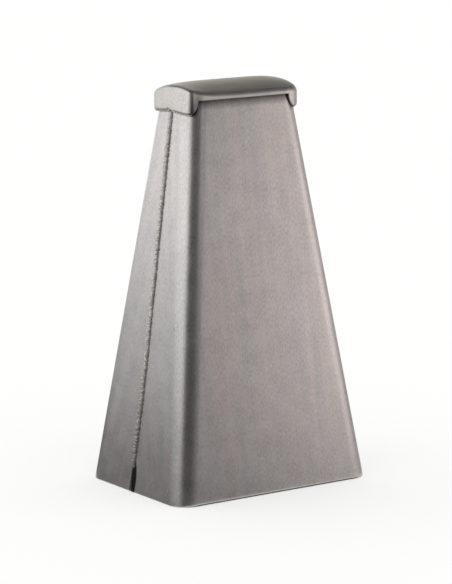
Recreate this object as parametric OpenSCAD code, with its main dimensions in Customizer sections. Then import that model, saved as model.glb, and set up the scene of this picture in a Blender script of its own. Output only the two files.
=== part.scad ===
// Hand-held steel bell, struck with a stick and held by its cap.
// Two pressed half shells meet on the middle of each narrow side and are joined there by a weld bead.
// A pressed cap sits over the neck, with a skirt at each end that is welded to the shell.
// +Z is up, the mouth rests on Z = 0 and the front faces -Y. Sizes are in millimetres.

/* [Shell] */
// Outside width of the mouth
mouth_w = 114.5; // [90:0.5:150]
// Outside depth of the mouth, front to back
mouth_d = 84.5; // [60:0.5:110]
// Outside width of the neck, level with the lower edge of the cap's skirts
neck_w = 64.6; // [50:0.1:85]
// Outside depth of the neck, front to back
neck_d = 34.6; // [31:0.1:55]
// Height of the neck above the mouth
neck_h = 185.6; // [120:0.1:240]
// Outside radius of the four upright bends
bend_r = 9.4; // [4:0.1:11]
// Thickness of the shell's sheet
sheet = 1.5; // [0.8:0.1:2.5]

/* [Cap] */
// Height of the cap's ridge above the lower edge of its skirts
cap_h = 14.2; // [12:0.1:20]
// Thickness of the cap's sheet
cap_sheet = 1.2; // [0.8:0.1:1.8]
// Height that the cap's top arches up between its front and rear edges, halfway along it
cap_rise = 5; // [2:0.1:6]
// Height that the cap's top arches up at each end
cap_end_rise = 3.3; // [1:0.1:5]
// Height that the cap's ridge falls from its middle to each end
cap_fall = 0.8; // [0:0.1:3]
// Inside radius of the bend between the cap's top and a skirt
skirt_bend_r = 0.6; // [0.3:0.1:3]
// Inside radius of the bend between the cap's top and its front or rear rim
rim_bend_r = 0.4; // [0.3:0.1:2]
// Height of the straight stretch below the rims' bend, halfway along the cap
rim_drop = 1; // [0.4:0.1:2]
// Angle round each corner at which a skirt's lower edge starts to rise
tab_start = 44; // [20:1:50]
// Angle round each corner at which a skirt has risen to the rim
tab_end = 68; // [55:1:80]
// Depth of each of the cap's corners in plan, as a share of its width
corner_share = 0.64; // [0.5:0.02:1]
// Gap between the skirts and the neck, and between the rims and the front or rear
cap_fit = 0.35; // [0.1:0.05:0.8]
// Gap between the top of the shell and the underside of the cap, where they are closest
cap_seat = 0.25; // [0.15:0.05:0.6]

/* [Welds] */
// Gap between the edges of the half shells, which the seam welds fill
seam_gap = 0.8; // [0.4:0.1:1.6]
// Length of each seam that is left open at the mouth
seam_open = 13; // [0:0.5:40]
// Width of a seam weld's bead
bead_w = 3.4; // [2.4:0.1:6]
// Height of a seam weld's bead above the sheet
bead_h = 0.9; // [0.4:0.1:1.2]
// Leg of the weld under each skirt
skirt_leg = 0.9; // [0.6:0.1:1.8]

/* [Hidden] */
$fn = 96;
steel = [0.62, 0.60, 0.58];
cap_steel = [0.56, 0.55, 0.53];
weld_metal = [0.45, 0.44, 0.43];

// Lean of the narrow sides, and of the front and rear
side_lean = atan((mouth_w - neck_w) / 2 / neck_h);
front_lean = atan((mouth_d - neck_d) / 2 / neck_h);

// Outward normal and uphill direction of the front panel and of the left side
front_out = [0, -cos(front_lean), sin(front_lean)];
front_up = [0, sin(front_lean), cos(front_lean)];
side_out = [-cos(side_lean), 0, sin(side_lean)];
side_up = [sin(side_lean), 0, cos(side_lean)];

// Foot and direction of the front left bend's axis, bend_r behind both panels
bend_foot = [-mouth_w / 2 + bend_r / cos(side_lean), -mouth_d / 2 + bend_r / cos(front_lean), 0];
bend_up = unit([tan(side_lean), tan(front_lean), 1]);
bend_angle = acos(side_out * front_out);

// Cap: height of its rims' lower edge, then half sizes and corners of its outside in plan
rim_z = neck_h + cap_h - cap_rise - cap_sheet - rim_bend_r - rim_drop;
cap_hw = neck_w / 2 + cap_fit + cap_sheet;
cap_hd = half_d(rim_z) + cap_fit + cap_sheet;
corner_w = bend_r + cap_fit + cap_sheet;
corner_d = corner_share * corner_w;
// Radius of the arch across the middle of the cap's top
arch_r = (cap_hd * cap_hd + cap_rise * cap_rise) / (2 * cap_rise);

// The shell is cut off flat where its front and rear panels first reach the underside of the cap
shell_h = seat_height(neck_h, 6);

// How far blanks run past the mouth and the top of the shell before they are trimmed
spare = 2 * bend_r;
far = 2 * shell_h;
// How far a bend's circle runs past the panels, so that their faces cross
bend_lap = 0.002;

function unit(v) = v / norm(v);
// Half width and half depth of the shell at a height
function half_w(z) = mouth_w / 2 - z * tan(side_lean);
function half_d(z) = mouth_d / 2 - z * tan(front_lean);
// How far the cap's top has changed from its middle, at 0, to its ends, at 1
function end_share(x) = pow(x / cap_hw, 4);
// Height of the cap's top above a point in plan, for a face that lies depth inside the outer one
function top_height(q, depth) =
    let (
        r = arch_r - depth,
        arch = 1 - (1 - cap_end_rise / cap_rise) * end_share(q.x)
    )
    neck_h + cap_h - depth - cap_fall * end_share(q.x) - arch * (r - sqrt(r * r - q.y * q.y));
// Height at which the leaning front stops short of the cap, found by repeating the guess
function seat_height(z, steps) =
    steps == 0 ? z
    : seat_height(
        min([for (x = [0, half_w(z) - bend_r]) top_height([x, half_d(z)], cap_sheet)]) - cap_seat, steps - 1
    );
// Where the left side runs into the front left bend, at a distance uphill from the mouth
function side_edge(v) = bend_foot.y + (v * cos(side_lean) - bend_r * sin(side_lean)) * tan(front_lean);
// Distance uphill on the left side of a height
function uphill(z) = z / cos(side_lean);

// Children drawn with X, Y and Z along the given directions, from a point
module in_frame(from, x, y, z)
    multmatrix([[x.x, y.x, z.x, from.x], [x.y, y.y, z.y, from.y], [x.z, y.z, z.z, from.z], [0, 0, 0, 1]])
        children();

// Children drawn on the outer face of the left side: X to the front, Y uphill and Z outwards
module on_left_side() in_frame([-mouth_w / 2, 0, 0], [0, -1, 0], side_up, side_out) children();

// Everything behind the front panel, or behind the left side, from depth below its outer face
module behind_front(depth)
    in_frame([0, -mouth_d / 2, 0], [1, 0, 0], front_up, front_out)
        translate([-far, -far, -far - depth]) cube([2 * far, 2 * far, far]);
module behind_left(depth)
    on_left_side() translate([-far, -far, -far - depth]) cube([2 * far, 2 * far, far]);

// What the front left bend takes off the corner, for a face that lies depth below the outer one
module bend_waste(depth) {
    reach = 3 * bend_r;
    in_frame(bend_foot - spare * bend_up, side_out, cross(bend_up, side_out), bend_up)
        linear_extrude(shell_h + 3 * spare) difference() {
            polygon([
                [0, 0], [reach, 0], reach * [1, tan(bend_angle / 2)],
                reach * [cos(bend_angle), sin(bend_angle)]
            ]);
            circle(bend_r - depth + bend_lap);
        }
}

// Solid front, bounded by a face that lies depth below the outer one
module front_body(depth)
    difference() {
        intersection() {
            behind_front(depth);
            behind_left(depth);
            mirror([1, 0, 0]) behind_left(depth);
        }
        bend_waste(depth);
        mirror([1, 0, 0]) bend_waste(depth);
    }

module front_half_shell()
    color(steel) intersection() {
        difference() {
            front_body(0);
            front_body(sheet);
        }
        translate([-far, -far - seam_gap / 2, 0]) cube([2 * far, far, shell_h]);
    }

module rear_half_shell() mirror([0, 1, 0]) front_half_shell();

// Weld of the left seam: a bead on the outside, and a fin through the gap between the half shells
module left_seam_weld() {
    bead_r = (bead_w * bead_w / 4 + bead_h * bead_h) / (2 * bead_h);
    start = uphill(seam_open);
    finish = uphill(neck_h - skirt_leg - cap_fit);
    // Outline of the fin, which runs up into the bead and, above the bead, ends flush with the sheet
    fin = [[start, -sheet], [far, -sheet], [far, 0], [finish, 0], [finish, bead_h / 2], [start, bead_h / 2]];
    color(weld_metal) union() {
        on_left_side() intersection() {
            translate([0, start, bead_h - bead_r]) rotate([-90, 0, 0])
                cylinder(r = bead_r, h = finish - start);
            translate([-bead_w, start, 0]) cube([2 * bead_w, finish - start, 2 * bead_h]);
        }
        intersection() {
            on_left_side() translate([-seam_gap / 2, 0, 0]) rotate([90, 0, 90])
                linear_extrude(seam_gap) polygon(fin);
            translate([-far, -far, 0]) cube([2 * far, 2 * far, shell_h]);
        }
    }
}

module right_seam_weld() mirror([1, 0, 0]) left_seam_weld();

// Weld under the left skirt: a quarter round bead in the corner between the skirt's edge and the shell
module left_skirt_weld() {
    half_length = -side_edge(uphill(neck_h));
    reach = 2 * skirt_leg;
    color(weld_metal) translate([-half_w(neck_h), half_length, neck_h]) rotate([90, 0, 0])
        linear_extrude(2 * half_length) intersection() {
            circle(skirt_leg);
            polygon([[0, 0], [-reach, 0], [-reach, -reach], [-reach * tan(side_lean), -reach]]);
        }
}

module right_skirt_weld() mirror([1, 0, 0]) left_skirt_weld();

// The cap is one sheet with an outer and an inner face.
// Each face is a stack of rings, from its lower edge to the middle of the top.

// Steps of a corner before and after a skirt's raised edge, and of that edge
corner_steps = 3;
tab_steps = 6;
// Steps of the bend round the top, and of each straight stretch of the outline
edge_steps = 5;
side_steps = 4;
// Shares of the way out from the middle of the top at which it has rings
top_shares = [0.8, 0.6, 0.4, 0.2];

// Angles round one corner, from the end of the cap to its front
corner_angles = concat(
    [for (k = [0:corner_steps - 1]) tab_start * k / corner_steps],
    [for (k = [0:tab_steps]) tab_start + (tab_end - tab_start) * sin(90 * k / tab_steps)],
    [for (k = [1:corner_steps]) tab_end + (90 - tab_end) * k / corner_steps]
);
corner_count = len(corner_angles);

// Centre of each corner, and the outline as a list of [centre x, centre y, direction]
centre_x = cap_hw - corner_w;
centre_y = cap_hd - corner_d;
function forward(x, y, turn) = [for (a = corner_angles) [x, y, turn + a]];
function backward(x, y, turn) = [for (k = [corner_count - 1:-1:0]) [x, y, turn - corner_angles[k]]];
function straight(from, to, turn) =
    [for (k = [1:side_steps - 1]) concat(from + (to - from) * k / side_steps, [turn])];
outline = concat(
    forward(centre_x, centre_y, 0),
    straight([centre_x, centre_y], [-centre_x, centre_y], 90),
    backward(-centre_x, centre_y, 180),
    straight([-centre_x, centre_y], [-centre_x, -centre_y], 180),
    forward(-centre_x, -centre_y, 180),
    straight([-centre_x, -centre_y], [centre_x, -centre_y], 270),
    backward(centre_x, -centre_y, 360),
    straight([centre_x, -centre_y], [centre_x, centre_y], 360)
);
count = len(outline);

// Point of the outline that lies inset inside the outer face
function in_plan(p, inset) = [
    p.x + (corner_w - inset) * cos(p.z),
    p.y + (corner_d - inset) * sin(p.z)
];
// Outside radius of the bend round the top, which changes from skirt to rim round each corner
function top_bend(turn) = cap_sheet + skirt_bend_r * pow(cos(turn), 2) + rim_bend_r * pow(sin(turn), 2);
// Height of the lower edge: the rim's, then a quarter ellipse down to the skirt's
function edge_share(turn) =
    max(0, min(1, (asin(min(1, abs(sin(turn)))) - tab_start) / (tab_end - tab_start)));
function edge_height(p) =
    let (q = edge_share(p.z)) neck_h + (rim_z - neck_h) * (1 - sqrt(1 - q * q));

function edge_ring(depth) = [for (p = outline) concat(in_plan(p, depth), [edge_height(p)])];
function bend_ring(depth, turn) = [
    for (p = outline)
        let (r = top_bend(p.z) - depth, q = in_plan(p, depth + r * (1 - cos(turn))))
            [q.x, q.y, top_height(q, depth) - r * (1 - sin(turn))]
];
function top_ring(depth, share) = [
    for (p = outline) let (q = share * in_plan(p, top_bend(p.z))) [q.x, q.y, top_height(q, depth)]
];
function face_points(depth) = concat(
    edge_ring(depth),
    [for (k = [0:edge_steps]) each bend_ring(depth, 90 * k / edge_steps)],
    [for (share = top_shares) each top_ring(depth, share)],
    [[0, 0, top_height([0, 0], depth)]]
);
ring_count = 2 + edge_steps + len(top_shares);
face_size = ring_count * count + 1;

// Two triangles between corners a, b, c and d, and their reverse
function patch(a, b, c, d, turned) = turned ? [[a, c, b], [a, d, c]] : [[a, b, c], [a, c, d]];
function face_triangles(first, turned) = concat(
    [
        for (k = [0:ring_count - 2], i = [0:count - 1])
            let (a = first + k * count, j = (i + 1) % count)
                each patch(a + i, a + count + i, a + count + j, a + j, turned)
    ],
    [
        for (i = [0:count - 1])
            let (a = first + (ring_count - 1) * count, j = (i + 1) % count, top = first + face_size - 1)
                turned ? [a + i, a + j, top] : [a + i, top, a + j]
    ]
);
lower_edge = [
    for (i = [0:count - 1]) let (j = (i + 1) % count)
        each patch(i, j, face_size + j, face_size + i, false)
];

module cap()
    color(cap_steel) polyhedron(
        points = concat(face_points(0), face_points(cap_sheet)),
        faces = concat(face_triangles(0, false), face_triangles(face_size, true), lower_edge)
    );

front_half_shell();
rear_half_shell();
cap();
left_seam_weld();
right_seam_weld();
left_skirt_weld();
right_skirt_weld();
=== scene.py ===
"""Looks of a hand-held steel bell: two brushed half shells, welded up both sides, under a pressed cap.

The classes hold their sizes in millimetres. The meshes are in metres, in the part's own frame: +Z points up
from the mouth, +X runs along the mouth's width, and the front faces -Y.
"""

import logging
import math
from dataclasses import dataclass, replace
from enum import Enum

import bmesh
import bpy
import numpy as np
from mathutils import Matrix, Vector


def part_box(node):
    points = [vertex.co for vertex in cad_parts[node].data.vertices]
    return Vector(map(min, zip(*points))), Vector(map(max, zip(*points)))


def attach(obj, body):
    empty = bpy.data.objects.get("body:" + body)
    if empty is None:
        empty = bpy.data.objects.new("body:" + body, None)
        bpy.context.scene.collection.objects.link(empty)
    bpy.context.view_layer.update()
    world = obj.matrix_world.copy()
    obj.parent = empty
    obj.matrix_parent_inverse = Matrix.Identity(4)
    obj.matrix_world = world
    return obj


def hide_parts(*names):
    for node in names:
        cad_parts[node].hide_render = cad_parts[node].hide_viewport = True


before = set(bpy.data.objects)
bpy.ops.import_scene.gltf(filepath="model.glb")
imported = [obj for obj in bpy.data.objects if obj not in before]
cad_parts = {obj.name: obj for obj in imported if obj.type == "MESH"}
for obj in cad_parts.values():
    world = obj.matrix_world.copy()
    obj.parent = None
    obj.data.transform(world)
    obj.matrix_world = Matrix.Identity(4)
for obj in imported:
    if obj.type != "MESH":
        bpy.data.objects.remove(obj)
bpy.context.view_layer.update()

MM = 0.001
BODY = "root"
# The half shells' UV map, and the point attributes that the finishes read
SHEET_UV = "sheet"
# Point attribute for the distance below the cap, which places the painted shade under it
CAP_GAP = "below_cap"
# Point attribute that places the painted shade along the panels' mouth edge
MOUTH_SHADE = "mouth_edge_shade"
# Point attribute that places the painted shade on the cap's tabs
TAB_SHADE = "tab_painted_shade"
# Length of sheet that one unit of the sheet's UV map covers
UV_UNIT = 100.0
# Edges that turn more sharply than this are shaded as edges
CREASE = math.radians(38)
# Levels of cloudy noise at which a sheet is at its most polished and at its dullest
CLOUD_SPAN = (0.3, 0.7)
LOG = logging.getLogger("bell")

Tree = bpy.types.NodeTree
Socket = bpy.types.NodeSocket
Pair = tuple[float, float]
Point = tuple[float, float, float]
# A point of the cap's outline: the middle of its curve in plan, and its direction from there
Spot = tuple[float, float, float]


class Slot(Enum):
    """Material slots of the part's record."""

    SHELL = "shell_steel"
    CAP = "cap_steel"
    WELD = "weld_metal"


class Side(Enum):
    """Narrow sides of the bell, with the sign of their X."""

    LEFT = -1
    RIGHT = 1


class Facing(Enum):
    """Wide sides of the bell, with the sign of their Y."""

    FRONT = -1
    REAR = 1


@dataclass(frozen=True)
class BellSizes:
    """Sizes that the pieces share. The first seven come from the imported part."""

    mouth_w: float
    mouth_d: float
    shell_h: float
    neck_h: float
    crown_h: float
    cap_half_w: float
    cap_half_d: float
    sheet: float = 1.5
    bend_r: float = 9.4
    # How much wider the upright bends are at the mouth than at the neck
    bend_flare: float = 1.1
    seam_gap: float = 0.8
    # How far the seam drifts to the rear at the mouth, and the height at which that starts
    drift: float = 2.6
    drift_h: float = 75.0
    cap_sheet: float = 1.2
    cap_fit: float = 0.35
    cap_rise: float = 5.0
    rim_bend: float = 1.6
    rim_drop: float = 1.0

    @classmethod
    def from_frame(cls) -> "BellSizes":
        """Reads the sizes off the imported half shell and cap.

        Returns:
            The sizes, in millimetres.
        """
        shell_low, shell_high = (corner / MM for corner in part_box("front_half_shell"))
        cap_low, cap_high = (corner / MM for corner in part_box("cap"))
        return cls(
            mouth_w=2 * shell_high.x,
            mouth_d=-2 * shell_low.y,
            shell_h=shell_high.z,
            neck_h=cap_low.z,
            crown_h=cap_high.z,
            cap_half_w=cap_high.x,
            cap_half_d=cap_high.y,
        )

    @property
    def rim_z(self) -> float:
        """Height of the lower edge of the cap's front and rear rims."""
        return self.crown_h - self.cap_rise - self.rim_bend - self.rim_drop

    @property
    def side_slope(self) -> float:
        """Run of the narrow sides towards the middle for each millimetre of height."""
        return (self.mouth_w / 2 - self.cap_half_w + self.cap_fit + self.cap_sheet) / self.neck_h

    @property
    def front_slope(self) -> float:
        """Run of the front and rear towards the middle for each millimetre of height."""
        return (self.mouth_d / 2 - self.cap_half_d + self.cap_fit + self.cap_sheet) / self.rim_z

    @property
    def side_out(self) -> np.ndarray:
        """Outward normal of the left side."""
        return unit(np.array([-1.0, 0.0, self.side_slope]))

    @property
    def front_out(self) -> np.ndarray:
        """Outward normal of the front panel."""
        return unit(np.array([0.0, -1.0, self.front_slope]))

    def bend_radius(self, z: float) -> float:
        """Outside radius of the upright bends at a height."""
        return self.bend_r + self.bend_flare * max(0.0, 1 - z / self.neck_h)

    def seam_y(self, z: float) -> float:
        """Y of the seam's middle at a height."""
        return self.drift * max(0.0, 1 - z / self.drift_h) ** 2

    def side_x(self, depth: float, z: float) -> float:
        """X of the left side at a height, depth below its outer face."""
        return -self.mouth_w / 2 + z * self.side_slope + depth * math.hypot(1, self.side_slope)


def unit(vector: np.ndarray) -> np.ndarray:
    """Scales a vector to a length of one."""
    return vector / np.linalg.norm(vector)


def linear(colour: str) -> tuple[float, float, float, float]:
    """Turns an sRGB hex colour into linear light.

    Args:
        colour: The colour as "#rrggbb".

    Returns:
        Red, green, blue and alpha.
    """
    parts = [int(colour[k:k + 2], 16) / 255 for k in (1, 3, 5)]
    red, green, blue = (c / 12.92 if c <= 0.04045 else ((c + 0.055) / 1.055) ** 2.4 for c in parts)
    return red, green, blue, 1.0


def quarter_turn(steps: int) -> list[float]:
    """Angles from 0 to a right angle, in equal steps."""
    return [math.pi / 2 * k / steps for k in range(steps + 1)]


def add_node(
    tree: Tree, kind: str, inputs: dict[str | int, object] | None = None, **settings: object
) -> bpy.types.Node:
    """Adds a node to a tree with its settings, its input values and its links.

    Args:
        tree: The tree that gets the node.
        kind: The node's type name.
        inputs: For each input's name or index, a value, or the socket that feeds it.
        settings: The node's own properties.

    Returns:
        The new node.
    """
    node = tree.nodes.new(kind)
    for name, value in settings.items():
        setattr(node, name, value)
    for key, value in (inputs or {}).items():
        if isinstance(value, Socket):
            tree.links.new(value, node.inputs[key])
        else:
            node.inputs[key].default_value = value
    return node


def blank_material(name: str) -> tuple[bpy.types.Material, Tree]:
    """Makes a material with an empty node tree.

    Args:
        name: The material's name.

    Returns:
        The material and its tree.
    """
    material = bpy.data.materials.new(name)
    material.use_nodes = True
    material.node_tree.nodes.clear()
    return material, material.node_tree


def add_object(name: str, data: bpy.types.ID) -> bpy.types.Object:
    """Puts a new object at the scene's origin.

    Args:
        name: The object's name.
        data: Its mesh or its camera.

    Returns:
        The object.
    """
    made = bpy.data.objects.new(name, data)
    bpy.context.scene.collection.objects.link(made)
    return made


def mesh_piece(
    name: str, points: np.ndarray, faces: list[tuple[int, ...]], uv: np.ndarray | None = None
) -> bpy.types.Object:
    """Makes a smooth closed piece at the origin, with its faces turned outwards.

    Args:
        name: The piece's name.
        points: Its corners, in millimetres.
        faces: Its faces, as indices of corners.
        uv: A place on the flat sheet for each corner, in millimetres.

    Returns:
        The new object, in the scene.
    """
    mesh = bpy.data.meshes.new(name)
    mesh.from_pydata((np.asarray(points) * MM).tolist(), [], faces)
    if uv is not None:
        layer = mesh.uv_layers.new(name=SHEET_UV)
        corners = np.array([loop.vertex_index for loop in mesh.loops])
        layer.data.foreach_set("uv", (uv[corners] / UV_UNIT).astype(np.float32).ravel())
    shaped = bmesh.new()
    shaped.from_mesh(mesh)
    bmesh.ops.recalc_face_normals(shaped, faces=shaped.faces)
    shaped.to_mesh(mesh)
    shaped.free()
    mesh.shade_smooth()
    mesh.set_sharp_from_angle(angle=CREASE)
    return add_object(name, mesh)


def mark_points(piece: bpy.types.Object, name: str, values: np.ndarray | list[float]) -> None:
    """Gives each of a piece's points a number that its finish reads.

    Args:
        piece: The piece.
        name: The attribute's name.
        values: The numbers, in the points' order.
    """
    marks = piece.data.attributes.new(name, "FLOAT", "POINT")
    marks.data.foreach_set("value", values)


def ring_faces(rings: int, count: int, first: int = 0, closed: bool = True) -> list[tuple[int, ...]]:
    """Quads between neighbouring rings of points.

    Args:
        rings: How many rings there are.
        count: How many points each ring has.
        first: Index of the first ring's first point.
        closed: Whether each ring joins up with its own start.

    Returns:
        The faces.
    """
    last = count if closed else count - 1
    return [
        (
            first + k * count + i,
            first + k * count + (i + 1) % count,
            first + (k + 1) * count + (i + 1) % count,
            first + (k + 1) * count + i,
        )
        for k in range(rings - 1)
        for i in range(last)
    ]


def hand_over(piece: bpy.types.Object, slot: Slot, node: str) -> None:
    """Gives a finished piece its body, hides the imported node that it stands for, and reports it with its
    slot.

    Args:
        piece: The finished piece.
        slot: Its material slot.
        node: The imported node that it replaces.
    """
    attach(piece, BODY)
    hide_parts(node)
    LOG.info("%s: %d faces, %s", piece.name, len(piece.data.polygons), slot.value)


def bare_sheet(
    tree: Tree, colour: Socket, clouds: Socket, rough: Pair, relief: Socket, bump: Pair
) -> None:
    """Ends a finish in bare steel sheet, unevenly dulled and with a fine relief.

    Args:
        tree: The finish's tree.
        colour: The sheet's colour.
        clouds: Cloudy noise that says how dull the sheet is.
        rough: Roughness where it is most polished and where it is dullest.
        relief: Noise that stands out from the sheet.
        bump: The relief's strength, and its height in millimetres.
    """
    low, high = CLOUD_SPAN
    roughness = add_node(
        tree, "ShaderNodeMapRange",
        {"Value": clouds, "From Min": low, "From Max": high, "To Min": rough[0], "To Max": rough[1]},
    ).outputs["Result"]
    normal = add_node(
        tree, "ShaderNodeBump", {"Height": relief, "Strength": bump[0], "Distance": bump[1] * MM}
    ).outputs["Normal"]
    shader = add_node(
        tree, "ShaderNodeBsdfPrincipled",
        {"Base Color": colour, "Metallic": 1.0, "Roughness": roughness, "Normal": normal},
    ).outputs["BSDF"]
    add_node(tree, "ShaderNodeOutputMaterial", {"Surface": shader})


@dataclass(frozen=True)
class ShellSteel:
    """Bare cold-rolled steel sheet, brushed along its height.

    It gives the eye short fine flecks, faint warm and cool bands, a cloudy mottle and soft reflections.
    Real brush lines are about 0.1 mm wide. They are drawn wider, so that they show at arm's length.
    """

    light: str = "#ccc9c7"
    shade: str = "#b3b0ae"
    # Faint tints of the brush's cool and warm bands, and the streaks' levels at which they are full
    cool: str = "#fbfdfe"
    warm: str = "#fffcfb"
    band: Pair = (0.35, 0.65)
    # Colour of the dark patch at the foot of each seam
    foot_dark: str = "#28242a"
    # Colour of the painted shade below the cap and along the panels' mouth edge
    soot: str = "#2e2926"
    fleck_width: float = 0.6
    fleck_length: float = 1.7
    streak_width: float = 5.0
    streak_length: float = 120.0
    cloud: float = 9.0
    # Shares of the streaks and the clouds beside the flecks, and the sums that give full shade and full light
    streak_share: float = 0.3
    cloud_share: float = 0.55
    sums: Pair = (0.68, 1.17)
    # Roughness where the sheet is polished and where it is dulled, and the flecks' strength and height
    rough: Pair = (0.26, 0.32)
    groove: Pair = (0.3, 0.02)
    # A dark patch at the foot of each seam: its middle and half sizes along Y and Z, how ragged
    # it is, and the shares of its half sizes between which it fades
    foot_patch_at: Pair = (0.2, 6.5)
    foot_patch_half: Pair = (2.3, 10.0)
    foot_patch_rag: float = 0.5
    foot_patch_fade: Pair = (0.95, 1.35)
    # Distances below the cap's edge between which the painted shade fades, how far they waver, and its
    # largest share
    darkening_fade: Pair = (1.0, 5.2)
    darkening_waver: float = 0.8
    darkest_share: float = 0.84

    def material(self) -> bpy.types.Material:
        """Builds the finish.

        Returns:
            The material.
        """
        material, tree = blank_material("brushed_cold_rolled_steel")
        sheet = add_node(tree, "ShaderNodeUVMap", uv_map=SHEET_UV).outputs["UV"]
        place = add_node(tree, "ShaderNodeTexCoord").outputs["Object"]
        flecks = self.sheet_noise(tree, sheet, self.fleck_width, self.fleck_length)
        streaks = self.sheet_noise(tree, sheet, self.streak_width, self.streak_length)
        clouds = add_node(
            tree, "ShaderNodeTexNoise", {"Vector": place, "Scale": 1 / (self.cloud * MM), "Detail": 3.0}
        ).outputs["Fac"]
        grain = add_node(
            tree, "ShaderNodeMath", {0: streaks, 1: self.streak_share, 2: flecks}, operation="MULTIPLY_ADD"
        ).outputs[0]
        level = add_node(
            tree, "ShaderNodeMath", {0: clouds, 1: self.cloud_share, 2: grain}, operation="MULTIPLY_ADD"
        ).outputs[0]
        share = add_node(
            tree, "ShaderNodeMapRange", {"Value": level, "From Min": self.sums[0], "From Max": self.sums[1]}
        ).outputs["Result"]
        steel = add_node(
            tree, "ShaderNodeMix", {0: share, 6: linear(self.shade), 7: linear(self.light)}, data_type="RGBA"
        ).outputs[2]
        warmth = add_node(
            tree, "ShaderNodeMapRange", {"Value": streaks, "From Min": self.band[0], "From Max": self.band[1]}
        ).outputs["Result"]
        tint = add_node(
            tree, "ShaderNodeMix", {0: warmth, 6: linear(self.cool), 7: linear(self.warm)}, data_type="RGBA"
        ).outputs[2]
        banded = add_node(
            tree, "ShaderNodeMix", {0: 1.0, 6: steel, 7: tint}, data_type="RGBA", blend_type="MULTIPLY"
        ).outputs[2]
        # Painted shade: darkens the sheet below the cap and along the panels' mouth edge
        darkened = self.painted_shade_share(tree, clouds)
        with_painted_shade = add_node(
            tree, "ShaderNodeMix", {0: darkened, 6: banded, 7: linear(self.soot)}, data_type="RGBA"
        ).outputs[2]
        # Dark patch at the foot of each seam
        dark_foot = self.foot_patch(tree, place, clouds)
        colour = add_node(
            tree, "ShaderNodeMix", {0: dark_foot, 6: with_painted_shade, 7: linear(self.foot_dark)}, data_type="RGBA"
        ).outputs[2]
        bare_sheet(tree, colour, clouds, self.rough, flecks, self.groove)
        return material

    @staticmethod
    def sheet_noise(tree: Tree, sheet: Socket, width: float, length: float) -> Socket:
        """Noise drawn out along the sheet's height.

        Args:
            tree: The material's tree.
            sheet: The sheet's UV map.
            width: Width of one line, in millimetres.
            length: Length of one line, in millimetres.

        Returns:
            The noise, about 0.5 on the whole.
        """
        scaled = add_node(
            tree, "ShaderNodeVectorMath", {0: sheet, 1: (UV_UNIT / width, UV_UNIT / length, 0.0)},
            operation="MULTIPLY",
        ).outputs["Vector"]
        return add_node(
            tree, "ShaderNodeTexNoise", {"Vector": scaled, "Scale": 1.0, "Detail": 2.0}, noise_dimensions="2D"
        ).outputs["Fac"]

    def painted_shade_share(self, tree: Tree, clouds: Socket) -> Socket:
        """Share of painted shade, close below the cap and along the panels' mouth edge.

        Args:
            tree: The material's tree.
            clouds: Noise that makes the painted shade uneven.

        Returns:
            The share, from 0 to 1.
        """
        near, far = self.darkening_fade
        gap = add_node(tree, "ShaderNodeAttribute", attribute_name=CAP_GAP).outputs["Fac"]
        uneven = add_node(
            tree, "ShaderNodeMath", {0: clouds, 1: self.darkening_waver * MM, 2: gap}, operation="MULTIPLY_ADD"
        ).outputs[0]
        # Painted shade below the cap, darkest at its edge
        soot = add_node(
            tree, "ShaderNodeMapRange",
            {
                "Value": uneven, "From Min": near * MM, "From Max": far * MM,
                "To Min": self.darkest_share, "To Max": 0.0,
            },
        ).outputs["Result"]
        # Painted shade along the panels' mouth edge
        edge = add_node(tree, "ShaderNodeAttribute", attribute_name=MOUTH_SHADE).outputs["Fac"]
        return add_node(tree, "ShaderNodeMath", {0: soot, 1: edge}, operation="MAXIMUM").outputs[0]

    def foot_patch(self, tree: Tree, place: Socket, clouds: Socket) -> Socket:
        """Share of the dark patch at the foot of the seams.

        Args:
            tree: The material's tree.
            place: The piece's Object coordinates.
            clouds: Noise that roughens the patch's outline.

        Returns:
            The share, from 0 to 1.
        """
        middle = (0.0, self.foot_patch_at[0] * MM, self.foot_patch_at[1] * MM)
        shape = (0.0, 1 / (self.foot_patch_half[0] * MM), 1 / (self.foot_patch_half[1] * MM))
        near, far = self.foot_patch_fade
        offset = add_node(
            tree, "ShaderNodeVectorMath", {0: place, 1: middle}, operation="SUBTRACT"
        ).outputs["Vector"]
        scaled = add_node(
            tree, "ShaderNodeVectorMath", {0: offset, 1: shape}, operation="MULTIPLY"
        ).outputs["Vector"]
        reach = add_node(tree, "ShaderNodeVectorMath", {0: scaled}, operation="LENGTH").outputs["Value"]
        ragged = add_node(
            tree, "ShaderNodeMath", {0: clouds, 1: self.foot_patch_rag, 2: reach}, operation="MULTIPLY_ADD"
        ).outputs[0]
        return add_node(
            tree, "ShaderNodeMapRange",
            {"Value": ragged, "From Min": near, "From Max": far, "To Min": 1.0, "To Max": 0.0},
            interpolation_type="SMOOTHSTEP",
        ).outputs["Result"]


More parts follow.
